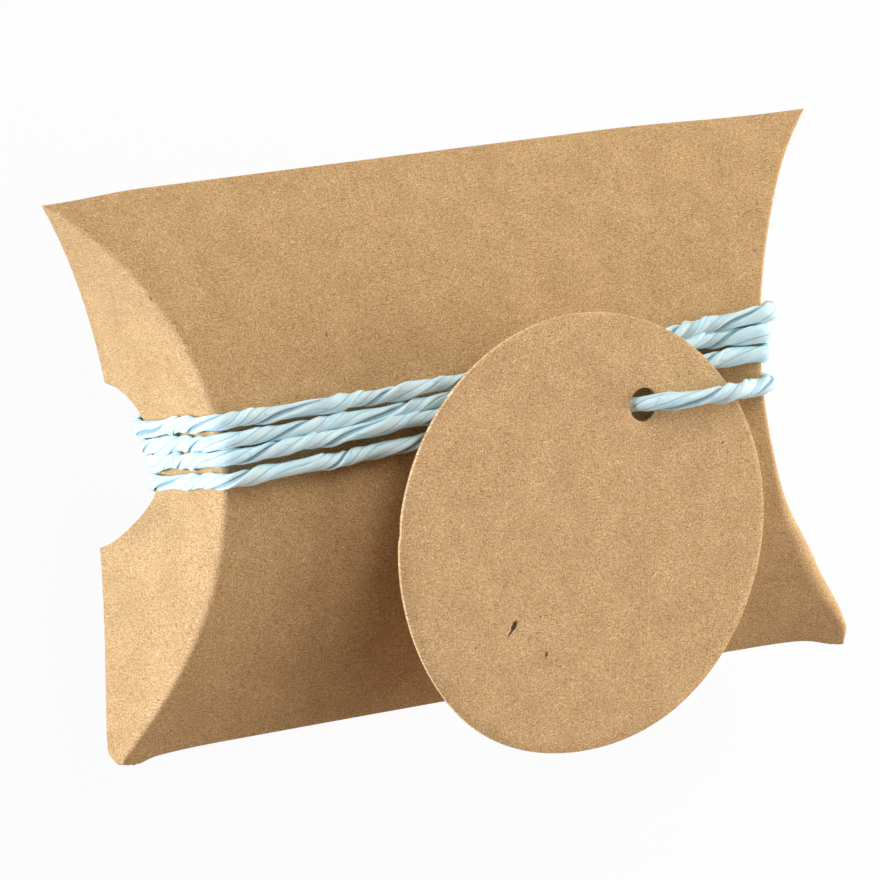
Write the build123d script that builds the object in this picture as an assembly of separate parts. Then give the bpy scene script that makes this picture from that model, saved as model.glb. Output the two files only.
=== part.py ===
from build123d import *
import os
from math import acos, cos, degrees, pi, radians, sin, sqrt, tan

# Pillow box tied with twine, with a round tag on the twine. It lies on its back:
# X runs end to end, Y across the box between the two side creases, Z through it.
# Z = 0 is the resting level, under the lowest strand on the back panel.

# Card box
LENGTH = 104.0
HEIGHT = 65.0
HALF_DEPTH = 12.5
END_HOLLOW = 13.5
CARD = 0.45
FOLD_GAP = 0.2
NOTCH_R = 9.5
INNER_FLAP_SHARE = 0.4
TAB_WIDTH = 10.0
TAB_END_SET_BACK = 3.0
INNER_FLAP_TRIM = 1.5

# Twine, four turns round the middle, with its places across the box as shares of the notch
TWINE_D = 2.0
TWINE_BEND_R = 2.2
TWINE_OFF_CARD = 0.46
NOTCH_CHORD_INSET = 0.3
LEFT_FRONT_SHARES = (0.632, 0.368, 0.105, -0.158)
LEFT_BACK_SHARES = (0.572, 0.3, 0.026, -0.253)
RIGHT_FRONT_SHARES = (0.945, 0.684, 0.424, 0.055)
RIGHT_BACK_SHARES = (0.78, 0.472, 0.167, -0.356)

# Round tag, threaded on the lowest front strand
TAG_D = 52.0
TAG_CARD = 0.5
TAG_HOLE_D = 4.0
TAG_HOLE_INSET = 16.8
TAG_HOLE_X_SHARE = 0.1703
TAG_HOLE_Y_SHARE = 0.047
TAG_HANG_ANGLE = 56.2
TAG_LEAN_Y = 7.8
TAG_LEAN_X = 2.7
TAG_OFF_TWINE = 0.32
TWINE_OFF_TAG = 0.18
HOLE_CLIMB_ANGLE = 45.0
RIM_PAST = 1.3

# Tie at the right end
KNOT_R = 2.1
KNOT_OFF_TWINE = 0.4
KNOT_Y_SHARE = 0.431
START_Y_SHARE = 0.903
START_Z_SHARE = 0.44
START_DROP_SHARE = 0.2
FINISH_Y_SHARE = -0.178
FINISH_Z_SHARE = -0.56
FINISH_DROP_SHARE = 0.42
TAIL_UP = 13.5
TAIL_DOWN = 14.5
TAIL_SLANT = 2.2
TAIL_RISE = 0.6

TWINE_R = TWINE_D / 2
LIFT = TWINE_R + TWINE_OFF_CARD
MID_Z = HALF_DEPTH + LIFT + TWINE_R
PANEL_R = (HEIGHT ** 2 / 4 + HALF_DEPTH ** 2) / (2 * HALF_DEPTH)
END_R = (HEIGHT ** 2 / 4 + END_HOLLOW ** 2) / (2 * END_HOLLOW)
END_X = LENGTH / 2 - END_HOLLOW
OVERSIZE = LENGTH * 2


def panel_height(y):
    """Outer surface of a panel above the mid plane at y."""
    return HALF_DEPTH - PANEL_R + sqrt(PANEL_R ** 2 - y ** 2)


def end_face(y):
    """Distance of the outer end face from the middle at y."""
    return END_X + END_R - sqrt(END_R ** 2 - y ** 2)


def arch(radius, rise, side):
    """Long cylinder along X whose crown stands rise from the mid plane."""
    centre = MID_Z + side * (rise - radius)
    return Pos(0, 0, centre) * Rot(0, 90, 0) * Cylinder(radius, OVERSIZE)


def half_space(side):
    """Block on one side of the mid plane."""
    return Pos(0, 0, MID_Z + side * OVERSIZE / 2) * Box(OVERSIZE, OVERSIZE, OVERSIZE)


def end_post(side, inset):
    """Upright cylinder that hollows one end, inset past the outer end face."""
    centre = side * (END_X + END_R)
    return Pos(centre, 0, MID_Z) * Cylinder(END_R + inset, OVERSIZE)


def notch_in_panel(side):
    """Thumb notch through the back panel, centred on its end crease."""
    return Pos(side * END_X, 0, MID_Z - HALF_DEPTH) * Cylinder(NOTCH_R, HALF_DEPTH)


def notch_in_flap(side):
    """Thumb notch through the end flaps, centred on the back crease."""
    bar = Rot(0, 90, 0) * Cylinder(NOTCH_R, END_HOLLOW)
    return Pos(side * END_X, 0, MID_Z - HALF_DEPTH) * bar


def panel(side, inset):
    """Curved card panel between the side creases, cut hollow at both ends."""
    shell = arch(PANEL_R, HALF_DEPTH, side) - arch(PANEL_R - CARD, HALF_DEPTH - CARD, side)
    body = (shell & half_space(side)) & Box(LENGTH, HEIGHT, OVERSIZE)
    return body - end_post(1, inset) - end_post(-1, inset)


def front_panel():
    return panel(1, CARD + FOLD_GAP)


def back_panel():
    body = panel(-1, 2 * (CARD + FOLD_GAP))
    return body - notch_in_panel(1) - notch_in_panel(-1)


def glue_tab():
    """Strip under the lower side crease, glued inside the back panel."""
    outer = arch(PANEL_R - CARD, HALF_DEPTH - CARD, -1)
    inner = arch(PANEL_R - 2 * CARD, HALF_DEPTH - 2 * CARD, -1)
    strip = Pos(0, TAB_WIDTH / 2 - HEIGHT / 2, 0) * Box(LENGTH, TAB_WIDTH, OVERSIZE)
    body = ((outer - inner) & half_space(-1)) & strip
    inset = 2 * (CARD + FOLD_GAP) + TAB_END_SET_BACK
    return body - end_post(1, inset) - end_post(-1, inset)


def end_shell(side, inset):
    """Concave card layer of one end, inset from the outer end face."""
    layer = end_post(side, inset + CARD) - end_post(side, inset)
    envelope = arch(PANEL_R, HALF_DEPTH, 1) & arch(PANEL_R, HALF_DEPTH, -1)
    return (layer & envelope) & Box(LENGTH, HEIGHT, OVERSIZE)


def outer_flap(side):
    return end_shell(side, 0) - notch_in_flap(side)


def inner_flap(side):
    rise = HALF_DEPTH * INNER_FLAP_SHARE
    radius = (HEIGHT ** 2 / 4 + rise ** 2) / (2 * rise)
    span = HEIGHT - 2 * INNER_FLAP_TRIM
    layer = end_shell(side, CARD + FOLD_GAP) & Box(LENGTH, span, OVERSIZE)
    return (layer & arch(radius, rise, 1)) - notch_in_flap(side)


def tag_plane():
    """Back face of the tag, with its origin at the middle of the hole."""
    y = NOTCH_R * TAG_HOLE_Y_SHARE
    z = MID_Z + panel_height(y) + LIFT + TWINE_R + TAG_OFF_TWINE
    place = Pos(LENGTH * TAG_HOLE_X_SHARE, y, z)
    return place * Rot(TAG_LEAN_Y, 0, 0) * Rot(0, TAG_LEAN_X, 0)


def tag():
    turn = radians(TAG_HANG_ANGLE)
    dx = -TAG_HOLE_INSET * cos(turn)
    dy = -TAG_HOLE_INSET * sin(turn)
    disc = Pos(dx, dy, TAG_CARD / 2) * Cylinder(TAG_D / 2, TAG_CARD)
    hole = Cylinder(TAG_HOLE_D / 2, 4 * TAG_CARD)
    return tag_plane() * (disc - hole)


def front_corner(side, y):
    """Meeting point of the strand lines off the front and end faces."""
    return Vector(side * (end_face(y) + LIFT), y, MID_Z + panel_height(y) + LIFT)


def notch_reach(y):
    """Distance from the back crease to the notch edge, clear of the strand's side."""
    return sqrt(NOTCH_R ** 2 - (abs(y) + TWINE_R) ** 2) - NOTCH_CHORD_INSET


def on_end_at_notch(side, y):
    """Where a strand leaves the end face and cuts across the notch."""
    return Vector(side * (end_face(y) + LIFT), y, MID_Z - HALF_DEPTH + notch_reach(y))


def on_back_at_notch(side, y):
    """Where a strand reaches the back panel past the notch."""
    return Vector(side * (END_X - notch_reach(y)), y, MID_Z - panel_height(y) - LIFT)


def tag_run():
    """Strand points up through the tag hole, over the tag and off its rim."""
    frame = tag_plane()
    along = Vector(1, 0, 0)
    middle = (frame * Pos(0, 0, TAG_CARD / 2)).position
    under = middle.Z - (MID_Z + panel_height(middle.Y) + LIFT)
    above = TAG_CARD / 2 + TWINE_R + TWINE_OFF_TAG
    slope = tan(radians(HOLE_CLIMB_ANGLE))
    low = middle - along * (under / slope) - Vector(0, 0, under)
    high = middle + along * (above / slope) + Vector(0, 0, above)
    turn = radians(TAG_HANG_ANGLE)
    side_way = TAG_HOLE_INSET * sin(turn)
    reach = sqrt((TAG_D / 2) ** 2 - side_way ** 2) - TAG_HOLE_INSET * cos(turn)
    lift = TAG_CARD + TWINE_R + TWINE_OFF_TAG
    rim = (frame * Pos(reach + RIM_PAST, 0, lift)).position
    return [low, high, rim]


def knot_centre():
    y = NOTCH_R * KNOT_Y_SHARE
    x = end_face(y) + LIFT + TWINE_R + KNOT_R + KNOT_OFF_TWINE
    return Vector(x, y, MID_Z)


def start_point():
    y = NOTCH_R * START_Y_SHARE
    drop = TWINE_D * START_DROP_SHARE
    return Vector(knot_centre().X - drop, y, MID_Z + HALF_DEPTH * START_Z_SHARE)


def finish_point():
    y = NOTCH_R * FINISH_Y_SHARE
    drop = TWINE_D * FINISH_DROP_SHARE
    return Vector(knot_centre().X - drop, y, MID_Z + HALF_DEPTH * FINISH_Z_SHARE)


def route_points():
    """Corner points of the whole twine, from the tie round four times and back."""
    points = [knot_centre(), start_point()]
    turns = len(LEFT_FRONT_SHARES)
    for k in range(turns):
        left = NOTCH_R * LEFT_FRONT_SHARES[k]
        left_back = NOTCH_R * LEFT_BACK_SHARES[k]
        right = NOTCH_R * RIGHT_FRONT_SHARES[k]
        right_back = NOTCH_R * RIGHT_BACK_SHARES[k]
        points.append(front_corner(1, right))
        if k == turns - 1:
            points += reversed(tag_run())
        points.append(front_corner(-1, left))
        points.append(on_end_at_notch(-1, left))
        points.append(on_back_at_notch(-1, left_back))
        points.append(on_back_at_notch(1, right_back))
        points.append(on_end_at_notch(1, right_back))
    return points + [finish_point(), knot_centre()]


def bend(before, corner, after, radius):
    """Start, middle and end of the arc that rounds one corner."""
    a = (before - corner).normalized()
    b = (after - corner).normalized()
    half = acos(max(-1.0, min(1.0, a.dot(b)))) / 2
    reach = radius / tan(half)
    centre = corner + (a + b).normalized() * (radius / sin(half))
    middle = centre + (corner - centre).normalized() * radius
    return corner + a * reach, middle, corner + b * reach


def rounded_path(points, radius):
    """One wire of straights and tangent arcs through the corner points."""
    edges = []
    here = points[0]
    for before, corner, after in zip(points, points[1:], points[2:]):
        first, middle, last = bend(before, corner, after, radius)
        edges.append(Edge.make_line(here, first))
        edges.append(Edge.make_three_point_arc(first, middle, last))
        here = last
    edges.append(Edge.make_line(here, points[-1]))
    return Wire(edges)


def tube(path, radius):
    start = Plane(origin=path @ 0, z_dir=path % 0)
    return sweep(start * Circle(radius), path=path)


def knot_tail(way, reach):
    """Short loose end that leaves the tie along the hollow of the end."""
    first = knot_centre()
    last = first + Vector(TAIL_RISE, way * reach, way * TAIL_SLANT)
    plane = Plane(origin=first, z_dir=last - first)
    return extrude(plane * Circle(TWINE_R), (last - first).length)


def knot():
    c = knot_centre()
    ball = Pos(c.X, c.Y, c.Z) * Sphere(KNOT_R)
    return ball + knot_tail(1, TAIL_UP) + knot_tail(-1, TAIL_DOWN)


def twine():
    path = rounded_path(route_points(), TWINE_BEND_R)
    body = tube(path, TWINE_R)
    expected = pi * TWINE_R ** 2 * path.length
    print("twine length", round(path.length, 2), "volume", round(body.volume, 2),
          "section x length", round(expected, 2), "bend radius", TWINE_BEND_R)
    report_gap(path)
    return body - knot()


def report_gap(path):
    """Print the least distance between strands of the twine, surface to surface."""
    count = int(path.length)
    spots = [path @ (i / count) for i in range(count + 1)]
    apart = int(4 * TWINE_D + 2)
    least = OVERSIZE
    for i in range(apart, count - apart):
        for j in range(i + apart, count - apart):
            least = min(least, (spots[i] - spots[j]).length)
    print("least gap between strands", round(least - TWINE_D, 3))


def main():
    os.makedirs("parts", exist_ok=True)
    parts = {
        "front_panel": front_panel(),
        "back_panel": back_panel(),
        "glue_tab": glue_tab(),
        "left_outer_flap": outer_flap(-1),
        "left_inner_flap": inner_flap(-1),
        "right_outer_flap": outer_flap(1),
        "right_inner_flap": inner_flap(1),
        "tag": tag(),
        "twine": twine(),
        "twine_knot": knot(),
    }
    for name, body in parts.items():
        solids = body.solids()
        shape = solids[0] if len(solids) == 1 else body
        shape.label = name
        box = shape.bounding_box()
        print(name, len(solids), "solids", round(shape.volume, 1), box.min, box.max)
        export_step(shape, "parts/" + name + ".step")


main()
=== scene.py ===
import bpy
from math import asin, atan2, cos, exp, pi, radians, sin, sqrt
from mathutils import Matrix, Vector, noise


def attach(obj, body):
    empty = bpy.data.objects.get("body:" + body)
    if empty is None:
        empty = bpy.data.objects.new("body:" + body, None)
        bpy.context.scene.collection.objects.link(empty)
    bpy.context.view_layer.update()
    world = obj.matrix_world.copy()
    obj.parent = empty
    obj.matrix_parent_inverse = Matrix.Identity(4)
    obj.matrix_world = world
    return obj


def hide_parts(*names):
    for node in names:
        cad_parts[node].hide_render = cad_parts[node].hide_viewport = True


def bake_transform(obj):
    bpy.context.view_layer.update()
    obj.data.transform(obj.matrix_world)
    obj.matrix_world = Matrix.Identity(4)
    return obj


# Pillow box tied with twine, in metres, in the CAD frame: X end to end, Y across, Z through the box.
# Card and twine are laid out regular, as in the CAD, and then settled into the warp of a real folded box.
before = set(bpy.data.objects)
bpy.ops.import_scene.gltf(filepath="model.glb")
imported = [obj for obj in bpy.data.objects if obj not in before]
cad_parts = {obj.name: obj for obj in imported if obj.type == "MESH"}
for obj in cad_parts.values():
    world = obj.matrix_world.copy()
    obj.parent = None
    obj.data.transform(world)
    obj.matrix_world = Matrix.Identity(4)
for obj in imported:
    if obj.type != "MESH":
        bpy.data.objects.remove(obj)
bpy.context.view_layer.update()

MM = 0.001

# Card box, repeated from the part's source
LENGTH = 104.0 * MM
HEIGHT = 65.0 * MM
HALF_DEPTH = 12.5 * MM
END_HOLLOW = 13.5 * MM
CARD = 0.45 * MM
FOLD_GAP = 0.2 * MM
NOTCH_R = 9.5 * MM
INNER_FLAP_SHARE = 0.4
INNER_FLAP_TRIM = 1.5 * MM
TAB_WIDTH = 10.0 * MM
TAB_END_SET_BACK = 3.0 * MM

# Twine, repeated from the part's source, with its places across the box as shares of the notch
TWINE_R = 1.0 * MM
TWINE_OFF_CARD = 0.46 * MM
NOTCH_CHORD_INSET = 0.3 * MM
LEFT_BACK_SHARES = (0.572, 0.3, 0.026, -0.253)
RIGHT_FRONT_SHARES = (0.945, 0.684, 0.424, 0.055)
RIGHT_BACK_SHARES = (0.78, 0.472, 0.167, -0.356)

# Tag, repeated from the part's source
TAG_R = 26.0 * MM
TAG_CARD = 0.5 * MM
TAG_HOLE_R = 2.0 * MM
TAG_HOLE_INSET = 16.8 * MM
TAG_HOLE_X_SHARE = 0.1703
TAG_HOLE_Y_SHARE = 0.047
TAG_HANG_ANGLE = radians(56.2)
TAG_LEAN_Y = radians(7.8)
TAG_LEAN_X = radians(2.7)
TAG_OFF_TWINE = 0.32 * MM
TWINE_OFF_TAG = 0.18 * MM
RIM_PAST = 1.3 * MM

# Tie at the right end, repeated from the part's source
KNOT_R = 2.1 * MM
KNOT_OFF_TWINE = 0.4 * MM
KNOT_Y_SHARE = 0.431
START_Y_SHARE = 0.903
START_Z_SHARE = 0.44
START_DROP_SHARE = 0.2
FINISH_Y_SHARE = -0.178
FINISH_Z_SHARE = -0.56
FINISH_DROP_SHARE = 0.42

LAYER = CARD + FOLD_GAP
LIFT = TWINE_R + TWINE_OFF_CARD
MID_Z = HALF_DEPTH + LIFT + TWINE_R
END_X = LENGTH / 2 - END_HOLLOW
PANEL_R = (HEIGHT ** 2 / 4 + HALF_DEPTH ** 2) / (2 * HALF_DEPTH)
END_R = (HEIGHT ** 2 / 4 + END_HOLLOW ** 2) / (2 * END_HOLLOW)
TAG_HOLE_X = LENGTH * TAG_HOLE_X_SHARE
TAG_HOLE_Y = NOTCH_R * TAG_HOLE_Y_SHARE
LEFT, RIGHT = -1, 1
FRONT_SIDE, BACK_SIDE = 1, -1


def panel_height(y):
    """Outer surface of a panel above the mid plane at y."""
    return HALF_DEPTH - PANEL_R + sqrt(PANEL_R ** 2 - y ** 2)


def end_face(y, inset=0.0):
    """Distance of an end face from the middle at y, inset past the outer one."""
    return END_X + END_R - sqrt((END_R + inset) ** 2 - y ** 2)


def smooth(t):
    """0 below 0, 1 above 1, and an S curve between."""
    t = max(0.0, min(1.0, t))
    return t * t * (3 - 2 * t)


def ramp(value, start, run):
    """0 up to start, then rising to 1 over the length run."""
    return smooth((value - start) / run)


def bell(value, middle, width):
    """Bell curve, 1 at the middle."""
    return exp(-((value - middle) / width) ** 2)


# Warp of the folded card

TWIST = 0.55 * MM
SIDE_FORWARD = 2.0 * MM
END_FORWARD = 1.66 * MM
LOWER_DRAW = 0.36 * MM
UPPER_SWELL = 0.52 * MM
FADE_SHARE, FADE_RUN_SHARE = 0.74, 0.24
RIGHT_FADE_SHARE, RIGHT_FADE_RUN_SHARE = 0.48, 0.44
END_DRAW = {LEFT: 0.28 * MM, RIGHT: 1.75 * MM}
DRAW_START, DRAW_RUN = 16 * MM, 22 * MM
RIGHT_SWELL, RIGHT_SWELL_RUN_SHARE = 2.0 * MM, 0.8
RIGHT_SWELL_Y, RIGHT_SWELL_WIDTH = -22.3 * MM, 6.6 * MM

# Left notch and blunt corners, each change with where it starts or lies and how far it reaches
NOTCH_RISE = 1.0 * MM
NOTCH_RISE_START, NOTCH_RISE_RUN = 20 * MM, 15 * MM
CORNER_START, CORNER_RUN = 44 * MM, 8 * MM
TOP_RIGHT_OUT = 1.25 * MM
TOP_RIGHT_TIP_IN = 0.35 * MM
TOP_RIGHT_TIP_START, TOP_RIGHT_TIP_RUN = 31.75 * MM, 0.5 * MM
LOW_RIGHT_DOWN = 1.1 * MM
LOW_RIGHT_OUT = 1.3 * MM
LOW_RIGHT_OUT_Y, LOW_RIGHT_OUT_WIDTH = -27.8 * MM, 3 * MM
LOW_RIGHT_OUT_START, LOW_RIGHT_OUT_RUN = 30 * MM, 15 * MM
LOW_RIGHT_LIP = 0.3 * MM
LOW_RIGHT_LIP_Y, LOW_RIGHT_LIP_WIDTH = -30.3 * MM, 1.4 * MM
LOW_RIGHT_TIP_IN = 1.6 * MM
LOW_RIGHT_TIP_START, LOW_RIGHT_TIP_RUN = 30.2 * MM, 2.3 * MM
LOW_LEFT_DOWN = 0.55 * MM
LOW_LEFT_DOWN_X, LOW_LEFT_DOWN_WIDTH = 49.5 * MM, 2 * MM
LOW_LEFT_TIP_IN = 1.2 * MM
LOW_LEFT_TIP_START, LOW_LEFT_TIP_RUN = 30.6 * MM, 1.9 * MM


def settle(p):
    """Small unevenness of the folded box, the same for every layer of card and for the twine round it."""
    u = 2 * p.x / LENGTH
    v = max(-1.0, min(1.0, 2 * p.y / HEIGHT))
    z = p.z + TWIST * u * v + SIDE_FORWARD * v * v + END_FORWARD * u * u
    fade = ramp(abs(u), FADE_SHARE, FADE_RUN_SHARE)
    if v < 0:
        y = p.y + LOWER_DRAW * (1 - fade) * v * v
    else:
        if u > 0:
            fade = ramp(u, RIGHT_FADE_SHARE, RIGHT_FADE_RUN_SHARE)
        y = p.y + UPPER_SWELL * (1 - fade) * v * v
    end = RIGHT if p.x > 0 else LEFT
    x = p.x - end * END_DRAW[end] * ramp(abs(p.x), DRAW_START, DRAW_RUN) * (1 - v * v) ** 2
    if end == RIGHT:
        swell = ramp(u, 0, RIGHT_SWELL_RUN_SHARE) * bell(p.y, RIGHT_SWELL_Y, RIGHT_SWELL_WIDTH)
        x += RIGHT_SWELL * swell
    return Vector((x, y, z))


def settle_card(p):
    """The card alone: its left notch sits a little high and its corners are worn blunt."""
    q = settle(p)
    v = 2 * p.y / HEIGHT
    q.y += NOTCH_RISE * ramp(-p.x, NOTCH_RISE_START, NOTCH_RISE_RUN) * (1 - min(1.0, v * v)) ** 2
    out = abs(p.x)
    corner = ramp(out, CORNER_START, CORNER_RUN) * v ** 4
    if p.x > 0 and v > 0:
        tip = ramp(p.y, TOP_RIGHT_TIP_START, TOP_RIGHT_TIP_RUN)
        q.x += (TOP_RIGHT_OUT - TOP_RIGHT_TIP_IN * tip) * corner
    elif p.x > 0:
        near = ramp(out, LOW_RIGHT_OUT_START, LOW_RIGHT_OUT_RUN)
        tip = ramp(-p.y, LOW_RIGHT_TIP_START, LOW_RIGHT_TIP_RUN)
        q.y -= LOW_RIGHT_DOWN * corner
        q.x += LOW_RIGHT_OUT * bell(p.y, LOW_RIGHT_OUT_Y, LOW_RIGHT_OUT_WIDTH) * near
        q.x += LOW_RIGHT_LIP * bell(p.y, LOW_RIGHT_LIP_Y, LOW_RIGHT_LIP_WIDTH) * corner
        q.x -= LOW_RIGHT_TIP_IN * tip * corner
    elif v < 0:
        tip = ramp(-p.y, LOW_LEFT_TIP_START, LOW_LEFT_TIP_RUN)
        q.y -= LOW_LEFT_DOWN * bell(out, LOW_LEFT_DOWN_X, LOW_LEFT_DOWN_WIDTH) * v ** 8
        q.x += LOW_LEFT_TIP_IN * tip * corner
    return q


# Panel profile

NOSE_R = 0.5 * MM
NOTCH_STEPS = 15
SIDE_STEPS = 40
NOSE_STEPS = 8


class Station:
    """One place round the panel's profile: y, height over the mid plane, normal and length round."""

    def __init__(self, y, h, ny, nz, run):
        self.y = y
        self.h = h
        self.ny = ny
        self.nz = nz
        self.run = run


def stations():
    """The profile from the lower side crease to the upper one, each crease rounded by the nose."""
    nose_y = sqrt((PANEL_R - NOSE_R) ** 2 - (PANEL_R - HALF_DEPTH) ** 2)
    turn = asin(nose_y / (PANEL_R - NOSE_R))
    last = nose_y + NOSE_R * sin(turn)
    ys = [NOTCH_R * sin(pi / 2 * k / NOTCH_STEPS) for k in range(NOTCH_STEPS + 1)]
    ys += [NOTCH_R + (last - NOTCH_R) * k / SIDE_STEPS for k in range(1, SIDE_STEPS + 1)]
    half = []
    for y in ys:
        a = asin(y / PANEL_R)
        half.append(Station(y, panel_height(y), sin(a), cos(a), PANEL_R * a))
    run = half[-1].run
    for k in range(1, NOSE_STEPS + 1):
        a = turn + (pi / 2 - turn) * k / NOSE_STEPS
        y = nose_y + NOSE_R * sin(a)
        half.append(Station(y, NOSE_R * cos(a), sin(a), cos(a), run + NOSE_R * (a - turn)))
    lower = [Station(-s.y, s.h, -s.ny, s.nz, -s.run) for s in reversed(half[1:])]
    return lower + half


STATIONS = stations()
PROFILE_END = STATIONS[-1].y
PROFILE_RUN = STATIONS[-1].run


def blank_v(side, s):
    """Place round the flat blank, front panel in the middle, back panel beyond its upper crease."""
    if side == FRONT_SIDE:
        return s.run
    return 2 * PROFILE_RUN - s.run


def side_inset(side):
    """How far the back panel's cards lie inside the front panel's at the ends."""
    return LAYER if side == BACK_SIDE else 0.0


def notch_half(y):
    return sqrt(max(0.0, NOTCH_R ** 2 - y ** 2))


# Sheets

BLANK_UNIT = 0.1
CARD_SHARP_ANGLE = 40.0


def make_mesh(name, points, faces, uvs, sharp=CARD_SHARP_ANGLE):
    """Smooth shaded piece of the used points, with its place on the blank as UV."""
    used = sorted({k for f in faces for k in f})
    place = {k: n for n, k in enumerate(used)}
    mesh = bpy.data.meshes.new(name)
    mesh.from_pydata([points[k] for k in used], [], [tuple(place[k] for k in f) for f in faces])
    layer = mesh.uv_layers.new(name="blank")
    flat = [uvs[k] for k in used]
    for loop in mesh.loops:
        layer.data[loop.index].uv = flat[loop.vertex_index]
    mesh.polygons.foreach_set("use_smooth", [True] * len(mesh.polygons))
    mesh.set_sharp_from_angle(angle=radians(sharp))
    mesh.update()
    piece = bpy.data.objects.new(name, mesh)
    bpy.context.scene.collection.objects.link(piece)
    return piece


def shell(name, rows, keep=None):
    """Closed sheet of card: rows of (point, normal, u, v) give its outer face, keep says which quads stay."""
    across = len(rows[0])
    outer, inner, uvs = [], [], []
    for row in rows:
        for point, normal, u, v in row:
            outer.append(settle_card(point))
            inner.append(settle_card(point - normal * CARD))
            uvs.append((u / BLANK_UNIT, v / BLANK_UNIT))
    total = len(outer)
    quads = []
    for i in range(len(rows) - 1):
        for j in range(across - 1):
            if keep is None or keep(i, j):
                a = i * across + j
                quads.append((a, a + 1, a + across + 1, a + across))
    a, b, c, d = quads[len(quads) // 2]
    facing = (outer[b] - outer[a]).cross(outer[d] - outer[a])
    i, j = divmod(a, across)
    if facing.dot(rows[i][j][1]) < 0:
        quads = [tuple(reversed(q)) for q in quads]
    edges = {}
    for q in quads:
        for k in range(4):
            edges[(q[k], q[(k + 1) % 4])] = True
    faces = list(quads)
    faces += [tuple(total + k for k in reversed(q)) for q in quads]
    for (p, q) in edges:
        if (q, p) not in edges:
            faces.append((q, p, total + p, total + q))
    return make_mesh(name, outer + inner, faces, uvs + uvs)


# End folds

FOLD_R = 0.9 * MM
FOLD_FLAT = 0.5 * MM
FOLD_WIDENING = 3.2 * MM
FOLD_WIDE_START, FOLD_WIDE_RUN = 6 * MM, 20 * MM
FOLD_DEPTH_SHARES = {LEFT: 0.62, RIGHT: 0.97}
SLIVER = 0.02 * MM


def fold_radius(end, y, h):
    """Radius of the rounded end crease, wider towards the lower right corner."""
    wide = FOLD_WIDENING * ramp(-y, FOLD_WIDE_START, FOLD_WIDE_RUN) if end == RIGHT else 0.0
    return min(FOLD_R + wide, FOLD_DEPTH_SHARES[end] * h + SLIVER)


def fold_start(end, s, inset):
    """Where the panel ends and the fold's strip begins, drawn in where the sheet turns round the nose."""
    tuck = max(0.0, abs(s.y) - PROFILE_END + CARD)
    return end_face(s.y, inset) - fold_radius(end, s.y, s.h) - FOLD_FLAT - tuck


# Panels

PANEL_COLUMNS = 48


def panel_card(name, side):
    """Curved panel between the end folds, one station a row."""
    inset = side_inset(side)
    rows = []
    for s in STATIONS:
        reach = []
        for end in (LEFT, RIGHT):
            limit = fold_start(end, s, inset)
            if side == BACK_SIDE and abs(s.y) < NOTCH_R:
                limit = min(limit, END_X - notch_half(s.y))
            reach.append(end * limit)
        row = []
        for k in range(PANEL_COLUMNS + 1):
            x = reach[0] + (reach[1] - reach[0]) * k / PANEL_COLUMNS
            point = Vector((x, s.y, MID_Z + side * s.h))
            row.append((point, Vector((0, s.ny, side * s.nz)), x, blank_v(side, s)))
        rows.append(row)
    return shell(name, rows)


# Flaps

STRIP_POINTS = 3
FOLD_ARCS = 10
FLAP_ROWS = 14
THIN_DEPTH_SHARE = 0.8
THIN_EDGE_SHARE = 0.9
THINNEST_SHARE = 0.02
LOWER_FLARE = 3.65 * MM
FLARE_START, FLARE_RUN = 3 * MM, 6 * MM
FLARE_SLACK = 0.1 * MM
ON_NOTCH = 1e-9


def end_normal(end, y, inset):
    slope = y / sqrt((END_R + inset) ** 2 - y ** 2)
    return Vector((end, -slope, 0)).normalized()


def thinning(s):
    """Share of the card's thickness that a flap keeps, less where it runs out at a tip."""
    by_depth = THIN_DEPTH_SHARE * s.h / CARD
    by_edge = (PROFILE_END - abs(s.y)) / (THIN_EDGE_SHARE * CARD)
    return max(THINNEST_SHARE, min(1.0, by_depth, by_edge))


def flap_card(name, end, side, far, span, spread=0.0):
    """Folded end flap: a strip of the panel, the rounded fold and the hollow flap, down to far(s)."""
    inset = side_inset(side)
    notched = side == BACK_SIDE
    chosen = [s for s in STATIONS if abs(s.y) <= span]
    rows = []
    for s in chosen:
        r = fold_radius(end, s.y, s.h)
        x = end_face(s.y, inset)
        n_panel = Vector((0, s.ny, side * s.nz))
        n_end = end_normal(end, s.y, inset)
        v = blank_v(side, s)
        thin = thinning(s)
        row = []
        for k in range(STRIP_POINTS):
            out = x - r + (fold_start(end, s, inset) - x + r) * (1 - k / (STRIP_POINTS - 1))
            normal = n_panel * (thin if k else 1)
            row.append((Vector((end * out, s.y, MID_Z + side * s.h)), normal, end * out, v))
        centre = Vector((end * (x - r), s.y, MID_Z + side * (s.h - r)))
        for k in range(1, FOLD_ARCS + 1):
            a = pi / 2 * k / FOLD_ARCS
            point = centre + Vector((end * r * sin(a), 0, side * r * cos(a)))
            normal = (n_panel * cos(a) + n_end * sin(a)).normalized()
            row.append((point, normal * thin, end * (x - r + r * a), v))
        start = MID_Z + side * (s.h - r)
        top = start
        if notched and abs(s.y) < NOTCH_R:
            top = max(start, MID_Z - HALF_DEPTH + notch_half(s.y))
        for k in range(1, FLAP_ROWS + 1):
            z = top + (far(s) - top) * k / FLAP_ROWS
            if k == 1 and notched and abs(s.y) < NOTCH_R:
                z = top
            down = abs(start - z)
            round_end = sqrt(max(0.0, 1 - (2 * s.y / HEIGHT) ** 2))
            flare = spread * ramp(-s.y, FLARE_START, FLARE_RUN) * round_end
            loose = flare * down / (2 * s.h + FLARE_SLACK)
            row.append((Vector((end * (x + loose), s.y, z)), n_end * thin, end * (x + down), v))
        rows.append(row)

    def keep(i, j):
        """Leaves out the strip and the fold where the notch cuts through the back crease."""
        if not notched or j >= STRIP_POINTS + FOLD_ARCS:
            return True
        return max(abs(chosen[i].y), abs(chosen[i + 1].y)) >= NOTCH_R + ON_NOTCH

    return shell(name, rows, keep)


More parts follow.
